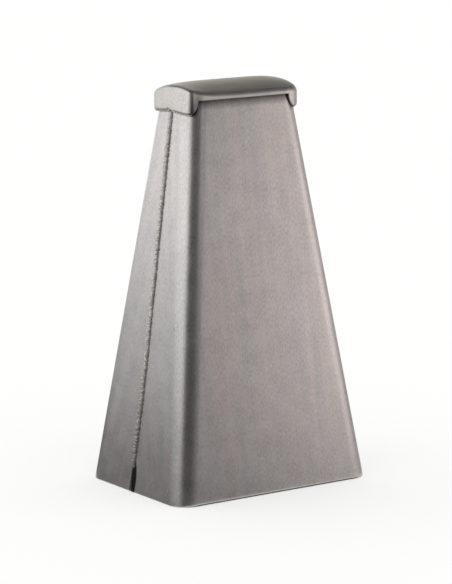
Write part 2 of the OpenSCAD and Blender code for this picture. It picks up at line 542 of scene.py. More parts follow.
@dataclass(frozen=True)
class CapSteel:
    """Pressed steel sheet, scuffed along the cap's length and sooty where it was welded.

    It gives the eye a darker, duller sheen than the shell, with long faint scuffs, a brown lower edge and
    painted shade on the tabs.
    """

    light: str = "#c8c5c1"
    shade: str = "#b3b0ac"
    # Colour of the weld soot on the lower edge, and of the painted shade on the tabs
    soot: str = "#3a332e"
    scuff_length: float = 30.0
    scuff_width: float = 1.2
    cloud: float = 8.0
    # Sums of scuffs and clouds that give full shade and full light
    sums: Pair = (0.75, 1.25)
    # Roughness where the sheet is polished and where it is dulled, and its dimples' strength and height
    rough: Pair = (0.26, 0.36)
    dimple: Pair = (0.4, 0.02)
    # Heights above the neck between which the lower edge's soot fades, and how far they waver
    darkening_fade: Pair = (0.3, 1.7)
    darkening_waver: float = 1.4
    # Thickness of the painted shade on the tabs where the clouds are darkest, and how much they add
    tab_shade_least: float = 0.4
    tab_shade_clouds: float = 1.2

    def material(self, sizes: BellSizes) -> bpy.types.Material:
        """Builds the finish.

        Args:
            sizes: The bell's sizes, which say where the welds are.

        Returns:
            The material.
        """
        material, tree = blank_material("pressed_steel_sheet")
        place = add_node(tree, "ShaderNodeTexCoord").outputs["Object"]
        across = 1 / (self.scuff_width * MM)
        drawn = add_node(
            tree, "ShaderNodeVectorMath", {0: place, 1: (1 / (self.scuff_length * MM), across, across)},
            operation="MULTIPLY",
        ).outputs["Vector"]
        scuffs = add_node(
            tree, "ShaderNodeTexNoise", {"Vector": drawn, "Scale": 1.0, "Detail": 2.0}
        ).outputs["Fac"]
        clouds = add_node(
            tree, "ShaderNodeTexNoise", {"Vector": place, "Scale": 1 / (self.cloud * MM), "Detail": 3.0}
        ).outputs["Fac"]
        level = add_node(tree, "ShaderNodeMath", {0: scuffs, 1: clouds}, operation="ADD").outputs[0]
        share = add_node(
            tree, "ShaderNodeMapRange", {"Value": level, "From Min": self.sums[0], "From Max": self.sums[1]}
        ).outputs["Result"]
        steel = add_node(
            tree, "ShaderNodeMix", {0: share, 6: linear(self.shade), 7: linear(self.light)}, data_type="RGBA"
        ).outputs[2]
        height = add_node(tree, "ShaderNodeSeparateXYZ", {"Vector": place}).outputs["Z"]
        uneven = add_node(
            tree, "ShaderNodeMath", {0: clouds, 1: self.darkening_waver * MM, 2: height}, operation="MULTIPLY_ADD"
        ).outputs[0]
        low, high = ((sizes.neck_h + rise) * MM for rise in self.darkening_fade)
        darkened = add_node(
            tree, "ShaderNodeMapRange",
            {"Value": uneven, "From Min": low, "From Max": high, "To Min": 1.0, "To Max": 0.0},
            interpolation_type="SMOOTHSTEP",
        ).outputs["Result"]
        # Painted shade on the tabs, made patchy by the clouds
        marks = add_node(tree, "ShaderNodeAttribute", attribute_name=TAB_SHADE).outputs["Fac"]
        thickness = add_node(
            tree, "ShaderNodeMath", {0: clouds, 1: self.tab_shade_clouds, 2: self.tab_shade_least},
            operation="MULTIPLY_ADD",
        ).outputs[0]
        patchy = add_node(tree, "ShaderNodeMath", {0: marks, 1: thickness}, operation="MULTIPLY").outputs[0]
        soot_and_tab_shade = add_node(tree, "ShaderNodeMath", {0: darkened, 1: patchy}, operation="MAXIMUM").outputs[0]
        colour = add_node(
            tree, "ShaderNodeMix", {0: soot_and_tab_shade, 6: steel, 7: linear(self.soot)}, data_type="RGBA"
        ).outputs[2]
        bare_sheet(tree, colour, clouds, self.rough, clouds, self.dimple)
        return material


@dataclass(frozen=True)
class WeldMetal:
    """Mild steel weld metal, left as it was laid.

    It gives the eye small bright ripple crests with dull grey-brown oxide between them, and it is darker
    towards the mouth.
    """

    crest: str = "#dcd8d4"
    oxide: str = "#d0cac4"
    # Colour that the welds darken to towards the mouth
    soot: str = "#3a3532"
    # Height above the mouth at which the darkening ends, and its share at the mouth
    darkening_high: float = 75.0
    darkest_share: float = 0.5
    grain: float = 1.1
    # Levels of the noise that are all oxide and all crest
    patch: Pair = (0.35, 0.65)
    # Roughness of the oxide and of the crests
    rough: Pair = (0.72, 0.54)

    def material(self) -> bpy.types.Material:
        """Builds the finish.

        Returns:
            The material.
        """
        material, tree = blank_material("mild_steel_weld_metal")
        place = add_node(tree, "ShaderNodeTexCoord").outputs["Object"]
        patches = add_node(
            tree, "ShaderNodeTexNoise", {"Vector": place, "Scale": 1 / (self.grain * MM), "Detail": 2.0}
        ).outputs["Fac"]
        share = add_node(
            tree, "ShaderNodeMapRange",
            {"Value": patches, "From Min": self.patch[0], "From Max": self.patch[1]},
        ).outputs["Result"]
        colour = add_node(
            tree, "ShaderNodeMix", {0: share, 6: linear(self.oxide), 7: linear(self.crest)}, data_type="RGBA"
        ).outputs[2]
        height = add_node(tree, "ShaderNodeSeparateXYZ", {"Vector": place}).outputs["Z"]
        # Darker towards the mouth
        darkened = add_node(
            tree, "ShaderNodeMapRange",
            {"Value": height, "From Max": self.darkening_high * MM, "To Min": self.darkest_share, "To Max": 0.0},
        ).outputs["Result"]
        darkened_low = add_node(
            tree, "ShaderNodeMix", {0: darkened, 6: colour, 7: linear(self.soot)}, data_type="RGBA"
        ).outputs[2]
        roughness = add_node(
            tree, "ShaderNodeMapRange", {"Value": share, "To Min": self.rough[0], "To Max": self.rough[1]}
        ).outputs["Result"]
        shader = add_node(
            tree, "ShaderNodeBsdfPrincipled", {"Base Color": darkened_low, "Metallic": 1.0, "Roughness": roughness}
        ).outputs["BSDF"]
        add_node(tree, "ShaderNodeOutputMaterial", {"Surface": shader})
        return material


@dataclass(frozen=True)
class HalfShell:
    """Half of the bell's wall: a sheet with a wide panel, two upright bends and half of each narrow side."""

    facing: Facing
    sizes: BellSizes
    cap: "Cap"
    side_steps: int = 10
    bend_steps: int = 20
    panel_steps: int = 32
    rise_steps: int = 56
    lip_steps: int = 12
    # How much closer the rows lie at the mouth and under the cap than halfway up
    bunching: float = 0.13
    # Room between the sheet's top edge and the cap's top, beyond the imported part's
    tuck: float = 1.0
    # Height of the mouth's rounded outer edge on the narrow sides and on the panel, how far it is drawn in at
    # most, and the rounding of the inner edge
    lip_side: float = 0.6
    lip_panel: float = 1.5
    lip_in: float = 1.15
    lip_inside: float = 0.25
    # Share of a bend's turn, from its narrow side, at which the panel's lip starts
    lip_turn: float = 0.5
    # Angles round the panel's lip at which its painted shade starts and at which it is full
    mouth_shade_begin: float = 22.0
    mouth_shade_full: float = 34.0
    # How far the panels wander from flat, the lengths of their waves, the long ones' share, the radians that
    # the waves are turned back at the front and on at the rear, and the height over which they start
    wave: float = 0.1
    long_wave: float = 140.0
    short_wave: float = 62.0
    long_share: float = 0.6
    wave_turn: float = 1.3
    wave_start: float = 18.0

    @property
    def node(self) -> str:
        """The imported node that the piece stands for."""
        return f"{self.facing.name.lower()}_half_shell"

    def bend_point(self, angle: float, depth: float, z: float) -> np.ndarray:
        """Point on the left bend.

        Args:
            angle: Angle round the bend, from the side.
            depth: Distance below the outer face.
            z: Height of the point.

        Returns:
            The point, on the front half.
        """
        s = self.sizes
        rise = np.array([s.side_slope, s.front_slope, 1.0])
        out = s.side_out * math.cos(angle) + np.cross(unit(rise), s.side_out) * math.sin(angle)
        radius = s.bend_radius(z)
        reach = (radius - depth) * out
        foot = np.array([
            -s.mouth_w / 2 + radius * math.hypot(1, s.side_slope),
            -s.mouth_d / 2 + radius * math.hypot(1, s.front_slope),
            0.0,
        ])
        return foot + (z - reach[2]) * rise + reach

    def wander(self, share: float, z: float) -> float:
        """How far a panel stands out from flat.

        Args:
            share: Way across the panel, from 0 to 1.
            z: Height on the panel.

        Returns:
            The distance, which is nothing at the panel's edges and at the mouth.
        """
        start = min(1.0, z / self.wave_start)
        turn = self.wave_turn * self.facing.value
        waves = self.long_share * math.sin(math.tau * z / self.long_wave + turn)
        waves += (1 - self.long_share) * math.sin(math.tau * (z / self.short_wave + share) - turn)
        return self.wave * start * math.sin(math.pi * share) ** 2 * waves

    def row(self, depth: float, z: float) -> np.ndarray:
        """Points across the sheet at one height, from the left seam to the right one.

        Args:
            depth: Distance below the outer face.
            z: Height of the row.

        Returns:
            The points of the front half, one to a line.
        """
        s = self.sizes
        full_turn = math.acos(s.side_out @ s.front_out)
        turns = [full_turn * k / self.bend_steps for k in range(self.bend_steps + 1)]
        bend = [self.bend_point(turn, depth, z) for turn in turns]
        seam = np.array([s.side_x(depth, z), -s.seam_gap / 2 - self.facing.value * s.seam_y(z), z])
        left = []
        for k in range(self.side_steps):
            share = k / self.side_steps
            left.append(seam + (bend[0] - seam) * share + s.side_out * self.wander(share, z))
        left += bend
        mirrored = [point * (-1, 1, 1) for point in reversed(left)]
        panel = []
        for k in range(1, self.panel_steps):
            share = k / self.panel_steps
            panel.append(left[-1] + (mirrored[0] - left[-1]) * share + s.front_out * self.wander(share, z))
        return np.array(left + panel + mirrored)

    def panel_share(self) -> np.ndarray:
        """How far each point of a row has come from the narrow side to the panel.

        Returns:
            The shares, from 0 to 1, one to a line.
        """
        turns = [k / self.bend_steps for k in range(self.bend_steps + 1)]
        bend = [max(0.0, (turn - self.lip_turn) / (1 - self.lip_turn)) for turn in turns]
        left = [0.0] * self.side_steps + bend
        whole = left + [1.0] * (self.panel_steps - 1) + left[::-1]
        return np.array(whole)[:, None]

    def stations(self, lip: float) -> list[Pair]:
        """Stations round the sheet's edge: down its outer face, round the mouth and up its inner face.

        Args:
            lip: Rounding of the mouth's outer edge.

        Returns:
            The depth and the height of each station.
        """
        s = self.sizes
        quarter = quarter_turn(self.lip_steps)
        steps = [k / self.rise_steps for k in range(1, self.rise_steps + 1)]
        rise = [k - self.bunching * math.sin(math.tau * k) for k in steps]
        top = s.shell_h - self.tuck
        inwards = min(lip, self.lip_in)
        outer = [(0.0, lip + (top - lip) * k) for k in reversed(rise)]
        outer += [(inwards * (1 - math.cos(a)), lip * (1 - math.sin(a))) for a in quarter]
        inside = self.lip_inside
        inner = [(s.sheet - inside * (1 - math.sin(a)), inside * (1 - math.cos(a))) for a in quarter]
        inner += [(s.sheet, inside + (top - inside) * k) for k in rise]
        return outer + inner

    def mouth_shade_share(self) -> np.ndarray:
        """How much painted shade the sheet gets at each station along the panels' mouth edge.

        Returns:
            The shares, from 0 on the sheet's faces to 1 under the mouth.
        """
        turns = [90.0 * k / self.lip_steps for k in range(self.lip_steps + 1)]
        width = self.mouth_shade_full - self.mouth_shade_begin
        lip = [max(0.0, min(1.0, (turn - self.mouth_shade_begin) / width)) for turn in turns]
        return np.array([0.0] * self.rise_steps + lip + [1.0] * len(lip) + [0.0] * self.rise_steps)

    def build(self) -> bpy.types.Object:
        """Builds the half shell's mesh.

        Returns:
            The piece.
        """
        stations = self.stations(self.lip_panel)
        panel_rows = [self.row(depth, z) for depth, z in stations]
        side_rows = [self.row(depth, z) for depth, z in self.stations(self.lip_side)]
        share = self.panel_share()
        rows = [side + (panel - side) * share for side, panel in zip(side_rows, panel_rows)]
        count = len(rows[0])
        points = np.concatenate(rows)
        sheet = []
        for row, (_, z) in zip(rows, stations):
            arc = np.concatenate([[0.0], np.cumsum(np.linalg.norm(np.diff(row, axis=0), axis=1))])
            sheet.append(np.stack([arc - arc[-1] / 2, np.full(count, z)], axis=1))
        faces = ring_faces(len(rows), count, closed=False)
        last = (len(rows) - 1) * count
        faces += [(last + i, last + i + 1, i + 1, i) for i in range(count - 1)]
        half = len(rows) // 2
        for edge in (0, count - 1):
            ring = [k * count + edge for k in range(len(rows))]
            faces += [(ring[k], ring[k + 1], ring[-k - 2], ring[-k - 1]) for k in range(half - 1)]
        if self.facing is Facing.REAR:
            points = points * (1, -1, 1)
        piece = mesh_piece(f"{self.facing.name.lower()}_shell", points, faces, np.concatenate(sheet))
        # Distances below the cap, which place the painted shade under it
        mark_points(piece, CAP_GAP, [self.cap.gap_over(point) * MM for point in points])
        # Shares of painted shade along the panels' mouth edge
        mark_points(piece, MOUTH_SHADE, np.outer(self.mouth_shade_share(), share).ravel())
        return piece

    def dress(self, piece: bpy.types.Object, finish: bpy.types.Material) -> None:
        """Gives the piece its finish and hands it over."""
        piece.data.materials.append(finish)
        hand_over(piece, Slot.SHELL, self.node)


@dataclass(frozen=True)
class Cap:
    """Pressed cap: an arched top, a short rim at the front and rear, and a deeper skirt round each end."""

    sizes: BellSizes
    # How far the cap sits to the right of the middle. Below zero is to the left
    shift: float = -0.3
    # Heights that the ridge falls and that the top arches up at its left and right ends
    fall: Pair = (0.9, 2.5)
    end_rise: Pair = (3.0, 4.0)
    # How late the ends' own shapes set in along the top
    end_power: tuple[int, int] = (4, 6)
    # How far the left end is knocked askew, and how far its rear corner is knocked down
    askew: float = 2.2
    knock: float = 1.2
    # Outside radius of the bend at the left and right ends
    skirt_bend: Pair = (1.7, 2.8)
    # Depth of each corner in plan, as a share of its width
    corner_share: float = 0.64
    # Power of the front left corner's curve, which is folded tighter than an ellipse, and the bow of the end
    # next to it
    fold_power: float = 3.7
    bow: float = 1.3
    # Depth of the flat that each tab was hammered to, and the angles round a corner between which it lies
    flat: float = 0.3
    flat_from: float = 54.0
    flat_to: float = 86.0
    # Angles at which the skirt's edge starts to rise and meets the rim, round the rear left corner,
    # the folded front left one and the two right ones
    left_tab: Pair = (40.0, 63.0)
    folded_tab: Pair = (40.0, 76.0)
    right_tab: Pair = (48.0, 76.0)
    # Rounding of the lower edge: how far it is drawn in, and its height on the skirts and on the rims
    lip_in: float = 0.7
    lip_skirt: float = 1.3
    lip_rim: float = 0.35
    # Share of painted shade at the foot of the left and right tabs, its height, and the angles round a corner
    # between which it lies
    tab_painted_shade: Pair = (0.85, 0.15)
    tab_shade_h: float = 10.5
    tab_shade_span: Pair = (26.0, 88.0)
    # How much faster the shell's painted shade fades below the skirts than below the rims
    skirt_haste: float = 2.5
    # The skirts' edges are higher in their middle, and notched where the seam passes
    edge_arch: float = 1.0
    notch: float = 0.7
    notch_half: float = 1.6
    corner_steps: int = 40
    straight_steps: int = 16
    lip_steps: int = 5
    wall_steps: int = 5
    bend_steps: int = 8
    top_steps: int = 12

    @property
    def corner_w(self) -> float:
        """Width of the cap's corners in plan."""
        return self.sizes.bend_r + self.sizes.cap_fit + self.sizes.cap_sheet

    def centre(self, x: float, y: float) -> Pair:
        """Middle of the corner that is nearest to a place in plan.

        Args:
            x: The place's X, from the cap's own middle.
            y: The place's Y.

        Returns:
            The middle.
        """
        across = self.sizes.cap_half_w - self.corner_w
        along = self.sizes.cap_half_d - self.corner_w * self.corner_share
        return math.copysign(across, x), math.copysign(along, y)

    def outline(self) -> list[Spot]:
        """The cap's outline in plan.

        Returns:
            Its points, once round from the right.
        """
        middles = [self.centre(*signs) for signs in ((1, 1), (-1, 1), (-1, -1), (1, -1))]
        found = []
        for k, middle in enumerate(middles):
            following = middles[(k + 1) % 4]
            start = math.pi / 2 * k
            found += [(*middle, start + turn) for turn in quarter_turn(self.corner_steps)]
            for j in range(1, self.straight_steps):
                share = j / self.straight_steps
                across = [a + (b - a) * share for a, b in zip(middle, following)]
                found.append((*across, start + math.pi / 2))
        return found

    def in_plan(self, spot: Spot, inset: float) -> Pair:
        """Place in plan of a point of the outline.

        Args:
            spot: The point.
            inset: How far it is moved in from the outer face.

        Returns:
            The place's X and Y.
        """
        depth = self.sizes.cap_half_d - abs(spot[1])
        share = (self.corner_angle(spot[2]) - self.flat_from) / (self.flat_to - self.flat_from)
        if 0 < share < 1:
            inset += self.flat * math.sin(math.pi * share) ** 2
        power = 2 / self.power(spot[0], spot[1])
        cos, sin = math.cos(spot[2]), math.sin(spot[2])
        across = self.shift + spot[0] + (self.corner_w - inset) * math.copysign(abs(cos) ** power, cos)
        along = spot[1] + (depth - inset) * math.copysign(abs(sin) ** power, sin)
        if spot[0] < 0 and spot[1] < 0:
            across += self.bow * (along / self.sizes.cap_half_d * cos) ** 2
        return across, along

    def power(self, x: float, y: float) -> float:
        """Power of the curve of the corner that is nearest to a place in plan: 2 for an ellipse."""
        return self.fold_power if x < 0 and y < 0 else 2.0

    @staticmethod
    def corner_angle(turn: float) -> float:
        """Angle round the nearest corner of a direction in plan, in degrees from the cap's end."""
        return math.degrees(math.asin(min(1.0, abs(math.sin(turn)))))

    def gap_over(self, point: np.ndarray) -> float:
        """Distance of a point of the shell below the cap's lower edge, counted faster under the skirts.

        Args:
            point: The point, in millimetres.

        Returns:
            The distance.
        """
        x, y, z = point[0] - self.shift, point[1], point[2]
        middle = self.centre(x, y)
        across = max(0.0, abs(x) - abs(middle[0])) / self.corner_w
        along = max(0.0, abs(y) - abs(middle[1])) / (self.sizes.cap_half_d - abs(middle[1]))
        power = self.power(x, y) / 2
        turn = math.atan2(math.copysign(along ** power, y), math.copysign(across ** power, x))
        edge = self.edge((min(x, middle[0], key=abs), min(y, middle[1], key=abs), turn))
        return (edge - z) * (1 + self.skirt_haste * (1 - self.rim_share(turn)) ** 2)

    def top(self, place: Pair, depth: float) -> float:
        """Height of the arched top above a place in plan.

        Args:
            place: The place's X and Y.
            depth: Distance below the outer face.

        Returns:
            The height.
        """
        s = self.sizes
        x, y = place[0] - self.shift, place[1]
        side = int(x > 0)
        radius = (s.cap_half_d ** 2 + s.cap_rise ** 2) / (2 * s.cap_rise) - depth
        end = (x / s.cap_half_w) ** self.end_power[side]
        arch = 1 - (1 - self.end_rise[side] / s.cap_rise) * end
        fall = self.fall[side] * end
        if x < 0:
            share = y / s.cap_half_d
            fall += end * (self.askew * share + self.knock * max(0.0, share) ** 2)
        return s.crown_h - depth - fall - arch * (radius - math.sqrt(radius ** 2 - y ** 2))

    def bend(self, turn: float) -> float:
        """Outside radius of the bend round the top, in one direction."""
        across = self.skirt_bend[int(math.cos(turn) > 0)]
        return across * math.cos(turn) ** 2 + self.sizes.rim_bend * math.sin(turn) ** 2

    def rim_share(self, turn: float) -> float:
        """How far the lower edge has changed from a skirt to a rim.

        Args:
            turn: Direction in plan.

        Returns:
            The share, from 0 to 1.
        """
        corner = self.corner_angle(turn)
        start, end = self.right_tab
        if math.cos(turn) < 0:
            start, end = self.folded_tab if math.sin(turn) < 0 else self.left_tab
        return max(0.0, min(1.0, (corner - start) / (end - start)))

    def edge(self, spot: Spot) -> float:
        """Height of the lower edge.

        Args:
            spot: A point of the outline.

        Returns:
            The height.
        """
        share = self.rim_share(spot[2])
        y = self.in_plan(spot, 0)[1]
        middle = max(0.0, 1 - (y / self.sizes.cap_half_d) ** 2)
        skirt = self.sizes.neck_h + self.edge_arch * middle ** 2 * (1 - share)
        skirt += self.notch * math.exp(-((y / self.notch_half) ** 2)) * (1 - share)
        return skirt + (self.sizes.rim_z - skirt) * (1 - math.sqrt(1 - share ** 2))

    def lip(self, spot: Spot) -> list[Pair]:
        """Stations round the lower edge, from its inner corner to the outer face.

        Args:
            spot: A point of the outline.

        Returns:
            The depth and the height of each station.
        """
        share = self.rim_share(spot[2])
        height = self.lip_skirt + (self.lip_rim - self.lip_skirt) * share
        low = self.edge(spot)
        found = [(self.sizes.cap_sheet, low)]
        for turn in quarter_turn(self.lip_steps):
            found.append((self.lip_in * (1 - math.sin(turn)), low + height * (1 - math.cos(turn))))
        return found

    def column(self, spot: Spot) -> list[Point]:
        """Points up one column: round the lip, up the outer wall, over the bend and across the top.

        Args:
            spot: The column's point of the outline.

        Returns:
            The points up to the top's middle, and after them those of the inner face, from there down.
        """
        lip = self.lip(spot)
        radius = self.bend(spot[2])
        turns = quarter_turn(self.bend_steps)
        points = [(*self.in_plan(spot, depth), z) for depth, z in lip]
        foot = lip[-1][1]
        head = self.top(self.in_plan(spot, 0), 0) - radius
        for k in range(1, self.wall_steps):
            points.append((*self.in_plan(spot, 0), foot + (head - foot) * k / self.wall_steps))
        for depth, order in ((0.0, turns), (self.sizes.cap_sheet, turns[::-1])):
            reach = radius - depth
            for turn in order:
                place = self.in_plan(spot, depth + reach * (1 - math.cos(turn)))
                points.append((*place, self.top(place, depth) - reach * (1 - math.sin(turn))))
            if depth == 0.0:
                points += self.top_points(spot, depth)
                points += self.top_points(spot, self.sizes.cap_sheet)[::-1]
        return points

    def top_points(self, spot: Spot, depth: float) -> list[Point]:
        """Points from the top's edge towards its middle, without either.

        Args:
            spot: The point of the outline that they start from.
            depth: Distance below the outer face.

        Returns:
            The points.
        """
        edge = self.in_plan(spot, self.bend(spot[2]))
        found = []
        for k in range(1, self.top_steps):
            share = 1 - k / self.top_steps
            place = (edge[0] * share, edge[1] * share)
            found.append((*place, self.top(place, depth)))
        return found

    def soot(self, spot: Spot, z: float) -> float:
        """Share of painted shade on a tab.

        Args:
            spot: A point of the outline.
            z: A height above it.

        Returns:
            The share, which is nothing beside the tabs.
        """
        start, end = self.tab_shade_span
        across = (self.corner_angle(spot[2]) - start) / (end - start)
        if not 0 < across < 1:
            return 0.0
        most = self.tab_painted_shade[int(math.cos(spot[2]) > 0)] * math.sqrt(math.sin(math.pi * across))
        return most * max(0.0, 1 - (z - self.sizes.neck_h) / self.tab_shade_h)

    def build(self) -> bpy.types.Object:
        """Builds the cap's mesh.

        Returns:
            The piece.
        """
        spots = self.outline()
        columns = np.array([self.column(spot) for spot in spots])
        count, levels = columns.shape[:2]
        points = columns.transpose(1, 0, 2).reshape(-1, 3)
        outer = levels // 2 + self.outer_lead()
        faces = ring_faces(outer, count)
        faces += ring_faces(levels - outer, count, first=outer * count)
        last = (levels - 1) * count
        faces += [(last + i, last + (i + 1) % count, (i + 1) % count, i) for i in range(count)]
        for ring, depth in ((outer - 1, 0.0), (outer, self.sizes.cap_sheet)):
            middle = len(points)
            points = np.concatenate([points, [[0.0, 0.0, self.top((0.0, 0.0), depth)]]])
            faces += [(ring * count + i, ring * count + (i + 1) % count, middle) for i in range(count)]
        piece = mesh_piece("pressed_cap", points, faces)
        # Shares of painted shade on the tabs
        soot = [self.soot(spot, columns[i, k, 2]) for k in range(levels) for i, spot in enumerate(spots)]
        mark_points(piece, TAB_SHADE, soot + [0.0] * (len(points) - len(soot)))
        return piece

    def outer_lead(self) -> int:
        """Half of the points that the outer face has more than the inner one in each column."""
        return (self.lip_steps + 2 + self.wall_steps - 1) // 2

    def dress(self, piece: bpy.types.Object, finish: bpy.types.Material) -> None:
        """Gives the piece its finish and hands it over."""
        piece.data.materials.append(finish)
        hand_over(piece, Slot.CAP, "cap")


@dataclass(frozen=True)
class Ripple:
    """One ripple of a run of weld metal, as a flattened ball.

    Its size and its place vary by shares of its half sizes, and its turn varies in radians.
    """

    pitch: float
    half_length: float
    half_width: float
    half_height: float
    spread: float
    wander: float
    twist: float

    def inputs(self, outward: Point, seed: int, metal: bpy.types.Material) -> dict[str, object]:
        """Values for the tree that lays a run of such ripples.

        Args:
            outward: Direction that the run faces.
            seed: The run's seed.
            metal: The weld metal.

        Returns:
            A value for each of the tree's inputs, by name.
        """
        return {
            "Pitch": self.pitch * MM,
            "Half Length": self.half_length * MM,
            "Half Width": self.half_width * MM,
            "Half Height": self.half_height * MM,
            "Size Spread": self.spread,
            "Wander": self.wander,
            "Twist": self.twist,
            "Outward": outward,
            "Seed": seed,
            "Metal": metal,
        }


class RippleTree:
    """Geometry Nodes tree that lays overlapping ripples of weld metal along a path."""

    # Segments and rings of each ripple's ball
    BALL = (12, 6)
    FLOATS = ("Pitch", "Half Length", "Half Width", "Half Height", "Size Spread", "Wander", "Twist")

    def __init__(self) -> None:
        """Builds the tree, with a named input for each size."""
        self.tree = bpy.data.node_groups.new("weld_ripples", "GeometryNodeTree")
        self.sockets: dict[str, str] = {}
        self.add_input("Path", "NodeSocketGeometry")
        for name in self.FLOATS:
            self.add_input(name, "NodeSocketFloat")
        self.add_input("Outward", "NodeSocketVector")
        self.add_input("Seed", "NodeSocketInt")
        self.add_input("Metal", "NodeSocketMaterial")
        self.tree.interface.new_socket("Weld", in_out="OUTPUT", socket_type="NodeSocketGeometry")
        self.fill()

    def add_input(self, name: str, kind: str) -> None:
        """Adds a named input and keeps its identifier."""
        socket = self.tree.interface.new_socket(name, in_out="INPUT", socket_type=kind)
        self.sockets[name] = socket.identifier

    def spread(self, seed: Socket, amount: Socket, step: int) -> Socket:
        """Random vector for each ripple.

        Args:
            seed: The run's seed.
            amount: Largest length along each axis.
            step: Number added to the seed, so that each use differs.

        Returns:
            The vector.
        """
        own = add_node(self.tree, "ShaderNodeMath", {0: seed, 1: float(step)}, operation="ADD").outputs[0]
        drawn = add_node(
            self.tree, "FunctionNodeRandomValue", {0: (-1.0, -1.0, -1.0), 1: (1.0, 1.0, 1.0), "Seed": own},
            data_type="FLOAT_VECTOR",
        ).outputs[0]
        return add_node(
            self.tree, "ShaderNodeVectorMath", {0: drawn, "Scale": amount}, operation="SCALE"
        ).outputs["Vector"]

    def fill(self) -> None:
        """Adds the nodes: points along the path, a flattened ball on each, and the weld metal."""
        tree = self.tree
        given = add_node(tree, "NodeGroupInput").outputs
        curve = add_node(tree, "GeometryNodeMeshToCurve", {"Mesh": given["Path"]}).outputs["Curve"]
        points = add_node(
            tree, "GeometryNodeResampleCurve", {"Curve": curve, "Length": given["Pitch"]}, mode="LENGTH"
        ).outputs["Curve"]
        along = add_node(tree, "GeometryNodeInputTangent").outputs["Tangent"]
        headed = add_node(
            tree, "FunctionNodeAlignRotationToVector", {"Vector": along}, axis="X"
        ).outputs["Rotation"]
        upright = add_node(
            tree, "FunctionNodeAlignRotationToVector", {"Rotation": headed, "Vector": given["Outward"]},
            axis="Z", pivot_axis="X",
        ).outputs["Rotation"]
        size = add_node(
            tree, "ShaderNodeCombineXYZ",
            {"X": given["Half Length"], "Y": given["Half Width"], "Z": given["Half Height"]},
        ).outputs["Vector"]
        share = add_node(
            tree, "ShaderNodeVectorMath",
            {0: self.spread(given["Seed"], given["Size Spread"], 0), 1: (1.0, 1.0, 1.0)}, operation="ADD",
        ).outputs["Vector"]
        scale = add_node(
            tree, "ShaderNodeVectorMath", {0: size, 1: share}, operation="MULTIPLY"
        ).outputs["Vector"]
        segments, rings = self.BALL
        ball = add_node(
            tree, "GeometryNodeMeshUVSphere", {"Segments": segments, "Rings": rings, "Radius": 1.0}
        ).outputs["Mesh"]
        laid = add_node(
            tree, "GeometryNodeInstanceOnPoints",
            {"Points": points, "Instance": ball, "Rotation": upright, "Scale": scale},
        ).outputs["Instances"]
        moved = add_node(
            tree, "GeometryNodeTranslateInstances",
            {"Instances": laid, "Translation": self.spread(given["Seed"], given["Wander"], 1)},
        ).outputs["Instances"]
        turn = add_node(
            tree, "FunctionNodeEulerToRotation", {"Euler": self.spread(given["Seed"], given["Twist"], 2)}
        ).outputs["Rotation"]
        turned = add_node(
            tree, "GeometryNodeRotateInstances", {"Instances": moved, "Rotation": turn}
        ).outputs["Instances"]
        real = add_node(tree, "GeometryNodeRealizeInstances", {"Geometry": turned}).outputs["Geometry"]
        smooth = add_node(tree, "GeometryNodeSetShadeSmooth", {"Geometry": real}).outputs["Geometry"]
        metal = add_node(
            tree, "GeometryNodeSetMaterial", {"Geometry": smooth, "Material": given["Metal"]}
        ).outputs["Geometry"]
        add_node(tree, "NodeGroupOutput", {"Weld": metal})

    def lay(self, path: np.ndarray, values: dict[str, object]) -> bpy.types.Mesh:
        """Lays one run and turns it into a plain mesh.

        Args:
            path: Points along the run, in millimetres.
            values: A value for each of the tree's inputs, by name.

        Returns:
            The mesh.
        """
        line = bpy.data.meshes.new("weld_path")
        line.from_pydata((path * MM).tolist(), [(k, k + 1) for k in range(len(path) - 1)], [])
        carrier = add_object("weld_path", line)
        modifier = carrier.modifiers.new("ripples", "NODES")
        modifier.node_group = self.tree
        for name, value in values.items():
            modifier[self.sockets[name]] = value
        graph = bpy.context.evaluated_depsgraph_get()
        mesh = bpy.data.meshes.new_from_object(carrier.evaluated_get(graph), depsgraph=graph)
        carrier.modifiers.remove(modifier)
        bpy.data.objects.remove(carrier)
        bpy.data.meshes.remove(line)
        return mesh


